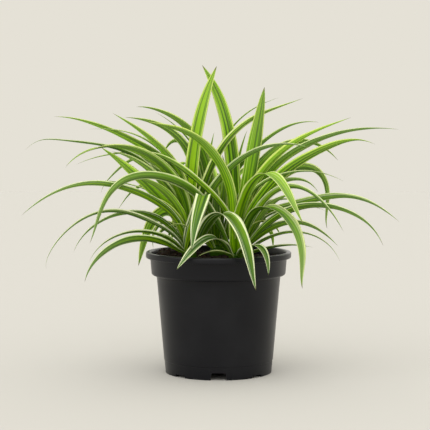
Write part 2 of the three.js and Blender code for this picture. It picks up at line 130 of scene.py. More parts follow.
# Fall-off, gap and number of the octaves in a clod
CLOD_OCTAVES = (1.0, 2.0, 4)

PEAT_SEED = 41
# Crumbs: many small ones and some large, each a ball stretched along its three axes and pushed in
# or out at each corner. They keep clear of the wall, and their middle lies over the peat's face,
# by these shares of their size.
SMALL_SHARE = 0.75
SMALL_CRUMB = (0.5, 1.1)
LARGE_CRUMB = 1.1
CRUMB_RINGS = 5
CRUMB_SIDES = 7
CRUMB_STRETCH = ((0.7, 1.5), (0.7, 1.3), (0.5, 0.9))
CRUMB_PUSH = (0.75, 1.2)
CRUMB_ROOM = 2.5
CRUMB_LIFT = 0.2

# Fibres: one bends by up to so many radians a millimetre, lies so far over the peat, arches, thins
# by a share toward its ends and keeps clear of the wall
SHORTEST_FIBRE = 6.0
FIBRE_STEPS = 7
FIBRE_SIDES = 4
FIBRE_RADIUS = 0.22
FIBRE_BEND = 0.09
FIBRE_LIFT = 0.35
FIBRE_ARCH = 0.5
FIBRE_THINNING = 0.6
FIBRE_ROOM = 3.0

# Shares of the dry colour: in the peat, a crumb and a fibre
PEAT_TONE = 0.6
CRUMB_TONE = (0.2, 1.6)
FIBRE_TONE = 1.8

# Crowns: across, depth, top
CROWNS = {
    "left": (-34.0, -6.0, 146.8),
    "right": (20.0, -12.0, 143.0),
    "back": (-2.0, 28.0, 146.3),
}
STOCK_RADIUS = 9.0
STOCK_DEPTH = 34.0
STOCK_SIDES = 28
# Outline of a stock: share of its radius, and millimetres up from its foot or down from its top
STOCK_FOOT = ((0, 0), (0.6, 0), (0.97, 7))
STOCK_HEAD = ((0.97, 12), (0.9, 7), (0.7, 4), (0.4, 1), (0, 0))
# How far from the stock's middle and below its top a leaf springs: an upright one, a flat one
ROOT_OFFSET = (1.0, 6.5)
ROOT_DEPTH = (3.0, 9.0)

# Each corner of a leaf carries these marks for the pattern: place from edge to edge (-1 to 1), 1 on
# the underside, share of the way to the tip, metres from the root, a number of the leaf's own, and
# the margin and tone of its row. A stock carries the marks of a deep green leaf just past its pale
# foot: painted shade where the stock shows between the leaf bases.
LEAF_MARKS = ("across", "under", "along", "length", "leaf", "margin", "tone")
STOCK_MARKS = {"across": 0.3, "under": 0, "along": 0.12, "length": 0.01, "leaf": 0.2, "margin": 0.1,
               "tone": 0.0}
# How far apart two leaves may read the same noise
LEAVES_APART = 91.0
# Share of the light that goes through a leaf
THROUGH_SHARE = 0.36

# Blades. One has so many faces from edge to edge on its upper side, and its rings stand a step apart
BLADE_FACES = 10
BLADE_STEP = 3.6
BLADE_LEAST_STEPS = 24
CURVE_SAMPLES = 401
KNOT_POWER = 0.7
BASE_SHARE = 0.42
WIDEST_AT = 0.25
BASE_FOLD = 38.0
MIDDLE_FOLD = 16.0
FOLD_SOFTNESS = 0.18
# Share of the width that wanders and of the half width that the edge ripples, and over which length
WIDTH_WANDER = 0.03
WANDER_LENGTH = 70
EDGE_RIPPLE = 0.05
RIPPLE_LENGTH = 38
# The midrib is thicker by this share, over this share of the half width. Near its tip, where half
# the width is under THIN_FROM, the leaf thins out.
RIB_THICKER = 0.9
RIB_WIDTH = 0.16
THIN_FROM = 3

# Leaf points are noted as they are seen from the front by eyes at this distance and height
EYE_DISTANCE = 1690.0
EYE_HEIGHT = 299.0

# Each leaf: width, taper (6 is a spear, 2 a long whip), the compass direction in degrees that its
# back bends over (0 right, 90 back, 180 left, 270 front), its turn about its own length, share of
# each half that is cream margin, tone of the green (0 deep, 1 lime), and the points that it passes
# on its way to the tip, each (across, depth, height) as seen.
LEFT_LEAVES = (
    (16.5, 6, 90, 0, 0.2, 0.62, (-30.5, 4, 240), (-19.7, 10, 302), (-2, 14, 353.5)),
    (17, 1.8, 230, 25, 0.12, 0.5, (-62, 5, 241.5), (-110, 17, 272.8), (-152, 26, 289.4),
     (-190, 35, 295.3)),
    (15, 2.4, 225, 25, 0.16, 0.7, (-52, 2, 240), (-84, 6, 274.5), (-122, 10, 299.5)),
    (17, 2.4, 240, 22, 0.14, 0.42, (-62, -13, 235), (-100, -13, 257.5), (-140, -11, 259.3),
     (-177, -8, 236.5)),
    (18, 3, 230, 30, 0.16, 0.85, (-56, -8, 188), (-80, -8, 213.5), (-99, -6, 231), (-136, -2, 260.5)),
    (13, 4, 225, 30, 0.12, 0.48, (-50, -12, 194), (-70, -18, 214.5), (-98, -22, 227)),
    (14, 4, 215, 25, 0.16, 0.5, (-41, -4, 190), (-54, -4, 215), (-72, -4, 232)),
    (15, 5, 140, 20, 0.18, 0.5, (-37, 0, 190), (-46, 2, 216), (-60, 4, 242)),
    (12, 5, 90, 0, 0.18, 0.6, (-35, 3, 195), (-35, 8, 225), (-31, 12, 252)),
    (12, 1.9, 215, 70, 0.18, 0.2, (-66, -22, 192), (-104, -38, 211.3), (-145, -56, 218.5),
     (-190, -75, 207.6), (-228, -88, 181)),
    (12, 1.8, 225, 25, 0.16, 0.22, (-60, 4, 215), (-82, 2, 237.5), (-104, -2, 253), (-150, -20, 264.8),
     (-195, -45, 269.3), (-223.5, -60, 256.5)),
    (13, 3, 230, 30, 0.18, 0.36, (-50, -4, 198), (-72, -6, 227), (-98, -8, 246.5), (-124, -8, 255)),
    (8, 2, 200, 25, 0.2, 0.3, (-56, 10, 243), (-89, 14, 271.5), (-120, 16, 280.3), (-150, 18, 281)),
    (10.5, 1.8, 215, 50, 0.18, 0.15, (-66, -20, 167), (-92, -30, 179.5), (-122, -41, 186.3),
     (-172, -60, 166.5), (-199.5, -70, 119)),
    (12, 1.8, 215, 60, 0.18, 0.2, (-62, -8, 171.5), (-97, -14, 184.4), (-140, -20, 172), (-168, -24, 138)),
    (12, 2, 215, 35, 0.2, 0.12, (-60, -24, 154.5), (-88, -33, 162.3), (-122, -41, 155.8),
     (-150, -48, 127)),
    (13, 2.8, 215, 80, 0.18, 0.2, (-64, -30, 148.5), (-92, -43, 154), (-128, -56, 142), (-155, -64, 104)),
    (19, 4, 270, 0, 0.27, 0.15, (-26, -26, 178), (-17.5, -50, 204), (-24, -70, 183), (-29, -84, 158),
     (-32, -90, 140)),
    (19, 4, 290, 0, 0.28, 0.1, (-16, -26, 163), (6, -58, 182.5), (23.7, -86, 165), (34.5, -102, 134),
     (43.5, -108, 93.5)),
    (14, 1.9, 335, -50, 0.34, 0.4, (-17, -2, 212), (9, 3, 266), (40, 19, 293.5), (97, 40, 316.4)),
    (13, 2.6, 330, -40, 0.14, 0.25, (-10, -14, 205), (14, -10, 236.5), (50, -14, 258.8), (105, -16, 259)),
    (14, 3, 240, 25, 0.16, 0.5, (-48, -12, 176), (-64, -16, 194), (-88, -20, 204)),
    (14, 4, 225, 25, 0.16, 0.4, (-46, -2, 196), (-60, 2, 222), (-82, 6, 242)),
    (6, 3, 190, 10, 0.3, 0.4, (-34, -18, 166.5), (-46, -22, 171.5), (-60, -26, 167.5)),
)

RIGHT_LEAVES = (
    (15, 3.5, 215, 35, 0.18, 0.55, (14.5, -26, 197), (4.5, -25, 234), (-22, -21, 267.5), (-50, -16, 282),
     (-84, -10, 290.5)),
    (12, 3.4, 210, 95, 0.2, 0.3, (-30, -26, 209.5), (-65, -36, 226), (-102, -48, 224.8),
     (-126, -52, 206.5), (-149, -56, 149)),
    (12, 2, 215, 35, 0.22, 0.35, (-20, -22, 217), (-45, -14, 237.5), (-68, -5, 249.5), (-112, 2, 253.5),
     (-164, 0, 240)),
    (15, 3.5, 225, -25, 0.27, 0.15, (6, -34, 146.5), (-8, -56, 155), (-28, -76, 143.3), (-49, -92, 118)),
    (9, 3, 225, 20, 0.22, 0.35, (6, -38, 137.5), (-7, -50, 139.5), (-25, -60, 133)),
    (15, 5, 95, 0, 0.12, 0.7, (19, -20, 152), (18, -21, 170), (15, -22, 192)),
    (13, 3.5, 300, 0, 0.27, 0.2, (38, -50, 146), (50.5, -68, 142), (56.5, -77, 127), (57.6, -80, 111.5)),
    (18, 4, 300, 10, 0.2, 0.4, (30, -34, 195), (54, -72, 229), (76.5, -108, 212), (98.3, -139, 171.5)),
    (17, 4, 310, 10, 0.14, 0.36, (38, -34, 176), (58, -60, 190.5), (84, -88, 172.5), (96.4, -112, 132),
     (97.2, -122, 96)),
    (17.5, 6, 90, 0, 0.16, 0.6, (16.3, 14, 238), (6, 20, 300), (-19, 24, 354.5)),
    (18, 6, 90, 0, 0.12, 0.6, (36, 8, 232), (44.3, 12, 281), (52.7, 14, 329.5)),
    (13, 1.9, 310, -40, 0.14, 0.3, (60, 8, 231), (80, 14, 250), (103, 24, 263.5), (128, 31, 273.5),
     (170, 42, 281.5), (208.6, 50, 280.3)),
    (15, 3, 300, -30, 0.2, 0.62, (70, -6, 226), (100, 0, 247.8), (125, 3, 260.2), (150, 5, 267.8),
     (181, 6, 263)),
    (15, 2.0, 310, -25, 0.36, 0.68, (52, -2, 233), (84, 4, 263.5), (115, 8, 280.2), (153, 10, 294.7)),
    (15, 3, 325, -60, 0.12, 0.4, (48, 18, 238.5), (88, 34, 266), (115, 41, 262.5), (138, 46, 244.3)),
    (10, 2, 330, -25, 0.2, 0.3, (58, -8, 222.5), (85, -10, 231.2), (108, -11, 232.3), (145, -12, 220.5)),
    (10, 2.2, 320, -80, 0.2, 0.25, (58, -20, 204), (88, -24, 215), (112, -27, 204), (130, -29, 185.6),
     (144.5, -30, 162.5)),
    (13, 2.3, 320, -70, 0.18, 0.25, (56, 10, 183.5), (95, 22, 196), (135, 31, 203.8), (172, 36, 198),
     (209, 42, 174)),
    (11.5, 2.4, 320, -75, 0.18, 0.25, (62, -4, 175.5), (105, 0, 192.6), (145, 3, 187.5), (172, 6, 172.3),
     (190.5, 8, 146.5)),
    (8, 2, 330, -25, 0.3, 0.3, (66, 10, 185.5), (104, 14, 192), (125, 16, 186)),
    (11, 3, 320, -35, 0.2, 0.35, (44, 4, 181.5), (60, 8, 196.5), (88, 12, 199)),
    (10, 2.6, 320, -75, 0.2, 0.3, (50, 8, 160), (80, 14, 173), (108, 18, 168.8), (138, 20, 146.2)),
    (9, 2, 325, -30, 0.2, 0.25, (50, -12, 151), (84, -22, 162), (116, -28, 155.5), (140.5, -32, 128)),
    (13, 3, 310, -30, 0.16, 0.4, (42, 0, 170), (58, 4, 192), (84, 8, 206)),
    (13, 4, 300, -25, 0.16, 0.45, (44, 4, 196), (60, 8, 222), (86, 12, 240)),
    (9, 2, 330, -30, 0.2, 0.25, (50, -4, 141.5), (78, -6, 146.8), (109, -8, 144.5)),
)

BACK_LEAVES = (
    (15, 3, 225, 30, 0.14, 0.45, (-16, 24, 244), (-33, 24, 278.5), (-48, 24, 292), (-68, 24, 302),
     (-95, 24, 306.5)),
    (8, 2, 205, 20, 0.2, 0.4, (-25, 32, 255), (-50, 32, 285), (-73, 32, 300.5)),
    (15, 3, 225, 35, 0.16, 0.4, (-29, 18, 238), (-40, 19, 263), (-57, 20, 279.5), (-84, 21, 291),
     (-108, 22, 294.5)),
    (20, 3, 210, 100, 0.14, 0.5, (-30, 40, 169), (-62, 57, 185.5), (-83, 65, 160), (-93, 68, 122.5)),
    (8, 3, 150, 10, 0.18, 0.35, (-38, 50, 165), (-66, 60, 172), (-75.5, 66, 143)),
    (15, 3, 210, 85, 0.18, 0.4, (-20, 36, 240), (-47, 43, 268), (-64, 48, 251)),
    (11, 2.4, 205, 70, 0.2, 0.3, (-60, 32, 228), (-98, 38, 246.5), (-114, 40, 236), (-128, 42, 222),
     (-135.5, 44, 207)),
    (10, 2.2, 205, 75, 0.2, 0.3, (-50, 36, 205), (-86, 42, 216.5), (-103, 44, 206), (-116, 46, 188.5)),
    (7, 1.8, 170, 20, 0.2, 0.3, (-70, 32, 205), (-120, 36, 220.5), (-168, 38, 218.5)),
    (11, 2.2, 335, -45, 0.2, 0.35, (20, 40, 232), (50, 44, 265), (78, 46, 283.5), (116, 48, 288.8)),
    (8, 2, 340, -20, 0.2, 0.35, (-8, 34, 225), (16, 36, 283), (44, 38, 306.5), (70, 40, 317.5)),
    (6, 4, 90, 0, 0.2, 0.45, (-13, 36, 215), (-10.5, 38, 250), (-5, 40, 278)),
    (6, 4, 60, 0, 0.2, 0.5, (16, 34, 205), (22, 36, 240), (33, 38, 280)),
    (14, 3, 330, -90, 0.16, 0.4, (62, 32, 215), (99, 40, 237.5), (117, 44, 229.5), (125.5, 48, 203),
     (126, 52, 165.5)),
    (11, 2.4, 335, -75, 0.2, 0.3, (50, 24, 208), (92, 30, 223.4), (115, 34, 208)),
    (12, 3, 330, -95, 0.18, 0.45, (34, 46, 158), (54, 58, 167), (63, 66, 143)),
    (13, 3, 115, 10, 0.16, 0.4, (-11, 26, 190), (-15, 28, 225), (-22, 32, 254)),
    (13, 3, 65, -10, 0.16, 0.4, (5, 26, 190), (8, 28, 225), (4, 32, 252)),
    (13, 3, 90, 0, 0.16, 0.35, (-3, 20, 175), (-3, 20, 203), (-7, 20, 230)),
    (14, 3, 300, -20, 0.16, 0.35, (12, 20, 162), (21, 18, 192), (34, 16, 214)),
)

# The rear of each tuft, by the model's own rule and seeds
REAR = {
    "left": {"count": 3, "seed": 31, "lean": (116.0, 150.0), "crest": (165.0, 185.0),
             "reach": (52.0, 62.0), "drop": (8.0, 20.0)},
    "right": {"count": 3, "seed": 57, "lean": (28.0, 60.0), "crest": (165.0, 185.0),
              "reach": (56.0, 66.0), "drop": (8.0, 20.0)},
    "back": {"count": 12, "seed": 20260, "lean": (46.0, 136.0), "crest": (165.0, 240.0),
             "reach": (106.0, 124.0), "drop": (25.0, 80.0)},
}
REAR_LEAN_PLACE = (0.2, 0.8)
REAR_STEEP_LOSS = 0.1
REAR_WIDTH = (10.0, 14.0)
REAR_TURN = (-25.0, 25.0)
REAR_TAPER = 3.0
REAR_BASE = 150.0
REAR_SHOULDER = (0.22, 0.62)
REAR_CREST_PLACE = 0.6
REAR_MARGIN = 0.24
REAR_TONE = (0.36, 0.66)
SEED_FACTOR = 1664525
SEED_STEP = 1013904223
SEED_RANGE = 2 ** 32

# Lamps as wide as soft boxes, each: name, compass direction in degrees that it stands in, height in
# degrees, width in degrees and power in watts to a square metre
SUNS = (
    ("key", 235, 44, 90, 1.5),
    ("fill", 305, 40, 90, 0.7),
    ("rear", 75, 52, 90, 1.2),
)
FLOOR_SIDES = 96
# The camera stands where the eyes are and looks at this point
CAMERA_AIM = (-4.1, 0.0, 182.0)
SENSOR_WIDTH = 36


def linear(code):
    """A web colour such as #5d8a2a as the linear red, green, blue and alpha that shaders use."""
    parts = [int(code[i:i + 2], 16) / 255 for i in (1, 3, 5)]
    return (*[c / 12.92 if c <= 0.04045 else ((c + 0.055) / 1.055) ** 2.4 for c in parts], 1.0)


def lerp(low, high, share):
    return low + (high - low) * share


def smooth(low, high, value):
    share = np.clip((value - low) / (high - low), 0, 1)
    return share * share * (3 - 2 * share)


class PotSettings(bpy.types.PropertyGroup):
    """The moulded pot."""

    colour: bpy.props.FloatVectorProperty(
        name="Colour", description="Colour of the moulded plastic", subtype="COLOR", size=4,
        min=0, max=1, default=linear("#08090f"))
    sides: bpy.props.IntProperty(
        name="Sides", description="Facets round the pot", default=160, min=24, max=256)
    lip_round: bpy.props.FloatProperty(
        name="Lip rounding", description="Radius of the lip's outer edge", default=2.0 * MM,
        unit="LENGTH")
    collar_round: bpy.props.FloatProperty(
        name="Collar rounding", description="Radius of the collar's lower edge", default=3.0 * MM,
        unit="LENGTH")
    foot_round: bpy.props.FloatProperty(
        name="Foot rounding", description="Radius of the foot ring's two edges", default=0.8 * MM,
        unit="LENGTH")


class PeatSettings(bpy.types.PropertyGroup):
    """The peat and its crumbs."""

    dark: bpy.props.FloatVectorProperty(
        name="Dark", description="Colour of damp peat in the hollows", subtype="COLOR", size=4,
        min=0, max=1, default=linear("#110b07"))
    light: bpy.props.FloatVectorProperty(
        name="Light", description="Colour of the drier crumbs", subtype="COLOR", size=4,
        min=0, max=1, default=linear("#3c2a1d"))
    crumbs: bpy.props.IntProperty(
        name="Crumbs", description="Crumbs lying on the peat", default=900, min=0, max=1500)
    largest_crumb: bpy.props.FloatProperty(
        name="Largest crumb", description="Half the width of the largest crumbs", default=2.3 * MM,
        unit="LENGTH")
    fibres: bpy.props.IntProperty(
        name="Fibres", description="Loose plant fibres on the peat", default=70, min=0, max=300)
    longest_fibre: bpy.props.FloatProperty(
        name="Longest fibre", description="Length of the longest fibres", default=16.0 * MM,
        unit="LENGTH")


class LeafSettings(bpy.types.PropertyGroup):
    """The striped leaves."""

    deep: bpy.props.FloatVectorProperty(
        name="Deep green", description="Green of the older leaves", subtype="COLOR", size=4,
        min=0, max=1, default=linear("#1a4a00"))
    lime: bpy.props.FloatVectorProperty(
        name="Lime green", description="Green of the young leaves", subtype="COLOR", size=4,
        min=0, max=1, default=linear("#8ec80a"))
    margin: bpy.props.FloatVectorProperty(
        name="Margin", description="Cream of the leaf's edges", subtype="COLOR", size=4,
        min=0, max=1, default=linear("#f3f7da"))
    thickness: bpy.props.FloatProperty(
        name="Thickness", description="Thickness of a leaf beside its midrib",
        default=0.5 * MM, unit="LENGTH")


class StageSettings(bpy.types.PropertyGroup):
    """The plain studio."""

    surroundings: bpy.props.FloatVectorProperty(
        name="Surroundings", description="Colour of the surroundings, and of the lit floor",
        subtype="COLOR", size=4, min=0, max=1, default=linear("#e5e1d6"))
    floor_radius: bpy.props.FloatProperty(
        name="Floor radius", description="Half the width of the round floor", default=4.0,
        unit="LENGTH")
    lens: bpy.props.FloatProperty(
        name="Lens", description="Focal length of the camera", default=122.8, unit="CAMERA")


class PlantSettings(bpy.types.PropertyGroup):
    """All settings of the potted plant."""

    pot: bpy.props.PointerProperty(type=PotSettings)
    peat: bpy.props.PointerProperty(type=PeatSettings)
    leaf: bpy.props.PointerProperty(type=LeafSettings)
    stage: bpy.props.PointerProperty(type=StageSettings)


def add_node(tree, kind, inputs=None, **settings):
    """Adds a shader node. An input is given a value, another node's output, or another node, which is
    joined by its first output in use."""
    made = tree.nodes.new("ShaderNode" + kind)
    for name, value in settings.items():
        setattr(made, name, value)
    for socket, value in (inputs or {}).items():
        if isinstance(value, bpy.types.Node):
            value = next(output for output in value.outputs if output.enabled)
        if isinstance(value, bpy.types.NodeSocket):
            tree.links.new(value, made.inputs[socket])
        else:
            made.inputs[socket].default_value = value
    return made


def new_material(name):
    material = bpy.data.materials.new(name)
    material.use_nodes = True
    material.node_tree.nodes.clear()
    return material, material.node_tree


def moulded_polypropylene(settings):
    """Black polypropylene, injection moulded in a finely etched tool.

    To the eye: a near black satin wall that goes grey where it turns away, with a fine grain and
    faint smears from handling.
    """
    material, tree = new_material("moulded_polypropylene")
    place = add_node(tree, "TexCoord").outputs["Object"]
    # Etched grain of 0.6 mm, drawn coarser than the real 0.1 mm so that it shows
    grain = add_node(tree, "TexNoise", {"Vector": place, "Scale": 1 / (0.6 * MM), "Detail": 2.0})
    # Smears as wide as two or three fingers, 45 mm
    smear = add_node(tree, "TexNoise", {"Vector": place, "Scale": 1 / (45 * MM), "Detail": 4.0})
    rough = add_node(tree, "MapRange", {"Value": smear, "From Min": 0.3, "From Max": 0.7,
                                        "To Min": 0.28, "To Max": 0.4})
    dust = add_node(tree, "MapRange", {"Value": smear, "From Min": 0.45, "From Max": 0.8,
                                       "To Min": 0.0, "To Max": 0.1})
    colour = add_node(tree, "Mix", {"Factor": dust, "A": settings.colour[:], "B": linear("#3a3b3e")},
                      data_type="RGBA")
    bump = add_node(tree, "Bump", {"Height": grain, "Strength": 0.25, "Distance": 0.05 * MM})
    shader = add_node(tree, "BsdfPrincipled", {
        "Base Color": colour, "Roughness": rough, "IOR": 1.49, "Specular IOR Level": 0.25,
        "Normal": bump})
    add_node(tree, "OutputMaterial", {"Surface": shader})
    return material


def damp_peat(settings):
    """Sphagnum peat, milled and damp.

    To the eye: near black hollows and dull brown crumbs, with no shine at all.
    """
    material, tree = new_material("damp_peat")
    place = add_node(tree, "TexCoord").outputs["Object"]
    # Dry patches the size of a clod, 5 mm, and the grit of sieved peat, 0.9 mm
    coarse = add_node(tree, "TexNoise", {"Vector": place, "Scale": 1 / (5 * MM), "Detail": 6.0,
                                         "Roughness": 0.7})
    fine = add_node(tree, "TexNoise", {"Vector": place, "Scale": 1 / (0.9 * MM), "Detail": 3.0})
    dry = add_node(tree, "MapRange", {"Value": coarse, "From Min": 0.4, "From Max": 0.7})
    tone = add_node(tree, "Attribute", attribute_name="tone").outputs["Fac"]
    share = add_node(tree, "Math", {0: dry, 1: tone}, operation="MULTIPLY")
    colour = add_node(tree, "Mix", {"Factor": share, "A": settings.dark[:], "B": settings.light[:]},
                      data_type="RGBA")
    bump = add_node(tree, "Bump", {"Height": fine, "Strength": 0.6, "Distance": 0.4 * MM})
    shader = add_node(tree, "BsdfPrincipled", {
        "Base Color": colour, "Roughness": 0.95, "IOR": 1.4, "Specular IOR Level": 0.2, "Normal": bump})
    add_node(tree, "OutputMaterial", {"Surface": shader})
    return material


def streaks(tree, marks, bands, run, layer, detail):
    """Noise drawn out along a leaf: so many bands in half its width, which is 7.5 mm in most leaves,
    each a run of so many millimetres."""
    row = add_node(tree, "Math", {0: marks["across"], 1: bands}, operation="MULTIPLY")
    along = add_node(tree, "Math", {0: marks["length"], 1: 1 / (run * MM)}, operation="MULTIPLY")
    # Every leaf and every layer reads the noise elsewhere
    level = add_node(tree, "Math", {0: marks["leaf"], 1: LEAVES_APART, 2: layer},
                     operation="MULTIPLY_ADD")
    vector = add_node(tree, "CombineXYZ", {"X": row, "Y": along, "Z": level})
    return add_node(tree, "TexNoise", {"Vector": vector, "Scale": 1.0, "Detail": detail})


def striped_leaf(settings):
    """A living variegated leaf with a satin cuticle.

    To the eye: a green middle with fine lengthwise veins and lighter bands, an uneven cream margin
    with thin streaks beside it, a pale foot and a dry tip. Light from behind shows through it.
    """
    material, tree = new_material("striped_leaf")
    marks = {name: add_node(tree, "Attribute", attribute_name=name).outputs["Fac"] for name in LEAF_MARKS}
    out = add_node(tree, "Math", {0: marks["across"]}, operation="ABSOLUTE")

    # Green: from old to young, in bands 3.7 mm wide and 90 mm long. The veins are drawn 2 mm apart,
    # coarser than the real 0.8 mm so that they show, and run on for 260 mm.
    bands = streaks(tree, marks, bands=2.0, run=90, layer=1.0, detail=2.0)
    veins = streaks(tree, marks, bands=3.8, run=260, layer=2.0, detail=3.0)
    patch = add_node(tree, "MapRange", {"Value": bands, "From Min": 0.3, "From Max": 0.7,
                                        "To Min": -0.28, "To Max": 0.28})
    youth = add_node(tree, "Math", {0: marks["tone"], 1: patch}, operation="ADD", use_clamp=True)
    green = add_node(tree, "Mix", {"Factor": youth, "A": settings.deep[:], "B": settings.lime[:]},
                     data_type="RGBA")
    raised = add_node(tree, "MapRange", {"Value": veins, "From Min": 0.5, "From Max": 0.62,
                                         "To Min": 0.0, "To Max": 0.8})
    # An old leaf is less streaked than a young one
    fresh = add_node(tree, "MapRange", {"Value": youth, "From Min": 0.0, "From Max": 0.6,
                                        "To Min": 0.5, "To Max": 1.0})
    bright = add_node(tree, "Math", {0: raised, 1: fresh}, operation="MULTIPLY")
    lighter = add_node(tree, "Mix", {"Factor": bright, "A": green, "B": linear("#b2dc14")},
                       data_type="RGBA")
    sunken = add_node(tree, "MapRange", {"Value": veins, "From Min": 0.5, "From Max": 0.37,
                                         "To Min": 0.0, "To Max": 0.85})
    darker = add_node(tree, "Mix", {"Factor": sunken, "A": lighter, "B": linear("#144400")},
                      data_type="RGBA")
    # Painted sheen: the outer half of an old leaf is painted greyer, and a cooler green where the margin
    # is broad, and that of a young leaf a little paler, standing in for the bright surroundings'
    # reflection
    outer = add_node(tree, "MapRange", {"Value": marks["along"], "From Min": 0.35, "From Max": 0.9,
                                        "To Min": 0.0, "To Max": 0.76})
    plain = add_node(tree, "MapRange", {"Value": marks["margin"], "From Min": 0.3, "From Max": 0.22})
    sheen_grey = add_node(tree, "Mix", {"Factor": plain, "A": linear("#3c6c26"), "B": linear("#8aa86c")},
                      data_type="RGBA")
    old = add_node(tree, "MapRange", {"Value": marks["tone"], "From Min": 0.5, "From Max": 0.28})
    sheen_colour = add_node(tree, "Mix", {"Factor": old, "A": linear("#b0c67c"), "B": sheen_grey},
                     data_type="RGBA")
    sheen_by_age = add_node(tree, "MapRange", {"Value": old, "To Min": 0.45, "To Max": 1.0})
    # How much painted sheen: over the outer half of a leaf, and more of it on an old leaf
    painted_sheen = add_node(tree, "Math", {0: outer, 1: sheen_by_age}, operation="MULTIPLY")
    # The veins, with the painted sheen laid over their outer half
    veins_and_sheen = add_node(tree, "Mix", {"Factor": painted_sheen, "A": darker, "B": sheen_colour},
                      data_type="RGBA")

    # Cream: the margin, whose inner edge wanders every 45 mm
    edging = streaks(tree, marks, bands=4.0, run=45, layer=3.0, detail=2.0)
    wander = add_node(tree, "MapRange", {"Value": edging, "From Min": 0.0, "From Max": 1.0,
                                         "To Min": -0.2, "To Max": 0.14})
    place = add_node(tree, "Math", {0: out, 1: wander}, operation="ADD")
    # The margin keeps its width while the leaf narrows, so that its share grows toward the tip
    ahead = add_node(tree, "Math", {0: marks["along"], 1: 2.0}, operation="POWER")
    near_root = add_node(tree, "MapRange", {"Value": marks["along"], "From Min": 0.0, "From Max": 0.4,
                                            "To Min": 0.5, "To Max": 1.0})
    own = add_node(tree, "Math", {0: marks["margin"], 1: near_root}, operation="MULTIPLY")
    grown = add_node(tree, "Math", {0: ahead, 1: 0.1, 2: own}, operation="MULTIPLY_ADD")
    start = add_node(tree, "Math", {0: 1.0, 1: grown}, operation="SUBTRACT")
    reach = add_node(tree, "Math", {0: place, 1: start}, operation="SUBTRACT")
    edge = add_node(tree, "MapRange", {"Value": reach, "From Min": -0.03, "From Max": 0.05},
                    interpolation_type="SMOOTHSTEP")
    # Thin cream streaks beside the margin, drawn about 1 mm wide, where real ones are half of that
    thread = streaks(tree, marks, bands=6.5, run=320, layer=4.0, detail=1.0)
    line = add_node(tree, "MapRange", {"Value": thread, "From Min": 0.57, "From Max": 0.64})
    near = add_node(tree, "MapRange", {"Value": reach, "From Min": -0.6, "From Max": -0.1,
                                       "To Min": 0.0, "To Max": 0.8})
    beside = add_node(tree, "Math", {0: line, 1: near}, operation="MULTIPLY")
    share = add_node(tree, "Math", {0: edge, 1: beside}, operation="MAXIMUM")
    # A young leaf's margin is yellow green, an old one's is cream
    young = add_node(tree, "MapRange", {"Value": marks["tone"], "From Min": 0.2, "From Max": 0.5,
                                        "To Min": 0.15, "To Max": 1.0})
    cream = add_node(tree, "Mix", {"Factor": young, "A": settings.margin[:], "B": linear("#e2ee8e")},
                     data_type="RGBA")
    striped = add_node(tree, "Mix", {"Factor": share, "A": veins_and_sheen, "B": cream}, data_type="RGBA")

    # The foot is pale, the tip is dry and the underside is duller
    foot = add_node(tree, "MapRange", {"Value": marks["along"], "From Min": 0.1, "From Max": 0.0,
                                       "To Min": 0.0, "To Max": 0.6})
    footed = add_node(tree, "Mix", {"Factor": foot, "A": striped, "B": linear("#96bc44")},
                      data_type="RGBA")
    dry = add_node(tree, "MapRange", {"Value": marks["along"], "From Min": 0.965, "From Max": 0.99,
                                      "To Min": 0.0, "To Max": 0.8})
    tipped = add_node(tree, "Mix", {"Factor": dry, "A": footed, "B": linear("#857a58")},
                      data_type="RGBA")
    dull = add_node(tree, "Math", {0: marks["under"], 1: 0.12}, operation="MULTIPLY")
    colour = add_node(tree, "Mix", {"Factor": dull, "A": tipped, "B": linear("#86a83c")},
                      data_type="RGBA")

    # The veins stand out a little and the midrib more
    rib = add_node(tree, "MapRange", {"Value": out, "From Min": 0.12, "From Max": 0.0,
                                      "To Min": 0.0, "To Max": 0.8})
    height = add_node(tree, "Math", {0: veins, 1: rib}, operation="ADD")
    bump = add_node(tree, "Bump", {"Height": height, "Strength": 0.5, "Distance": 0.18 * MM})
    rough = add_node(tree, "MapRange", {"Value": veins, "From Min": 0.3, "From Max": 0.7,
                                        "To Min": 0.36, "To Max": 0.5})
    surface = add_node(tree, "BsdfPrincipled", {
        "Base Color": colour, "Roughness": rough, "IOR": 1.45, "Specular IOR Level": 0.07,
        "Normal": bump})
    # The light that goes through comes out a livelier green
    glow = add_node(tree, "HueSaturation", {"Color": colour, "Saturation": 1.15, "Value": 1.3})
    through = add_node(tree, "BsdfTranslucent", {"Color": glow})
    shader = add_node(tree, "MixShader", {0: THROUGH_SHARE, 1: surface, 2: through})
    add_node(tree, "OutputMaterial", {"Surface": shader})
    return material


def matt_paper(colour):
    """Backdrop paper, uncoated: one even warm tone with no shine."""
    material, tree = new_material("matt_paper")
    shader = add_node(tree, "BsdfPrincipled", {
        "Base Color": colour, "Roughness": 1.0, "IOR": 1.5, "Specular IOR Level": 0.0})
    add_node(tree, "OutputMaterial", {"Surface": shader})
    return material


def new_piece(name, corners, faces, material, marks=None):
    """A smooth mesh object from corners in millimetres. Each of its marks holds a number a corner."""
    mesh = bpy.data.meshes.new(name)
    mesh.from_pydata((np.asarray(corners, float) * MM).tolist(), [], faces)
    mesh.validate()
    for key, values in (marks or {}).items():
        layer = mesh.attributes.new(key, "FLOAT", "POINT")
        layer.data.foreach_set("value", np.asarray(values, np.float32))
    mesh.materials.append(material)
    mesh.polygons.foreach_set("use_smooth", [True] * len(mesh.polygons))
    made = bpy.data.objects.new(name, mesh)
    bpy.context.scene.collection.objects.link(made)
    return made


def applied(piece):
    """The piece, with its modifiers made part of its mesh."""
    seen = piece.evaluated_get(bpy.context.evaluated_depsgraph_get())
    mesh = bpy.data.meshes.new_from_object(seen)
    piece.modifiers.clear()
    piece.data = mesh
    return piece


def arc(centre, radius, start, stop, steps):
    """Points of an arc in a profile, from one angle to another in degrees."""
    angles = [math.radians(lerp(start, stop, i / steps)) for i in range(steps + 1)]
    return [(centre[0] + radius * math.cos(a), centre[1] + radius * math.sin(a)) for a in angles]


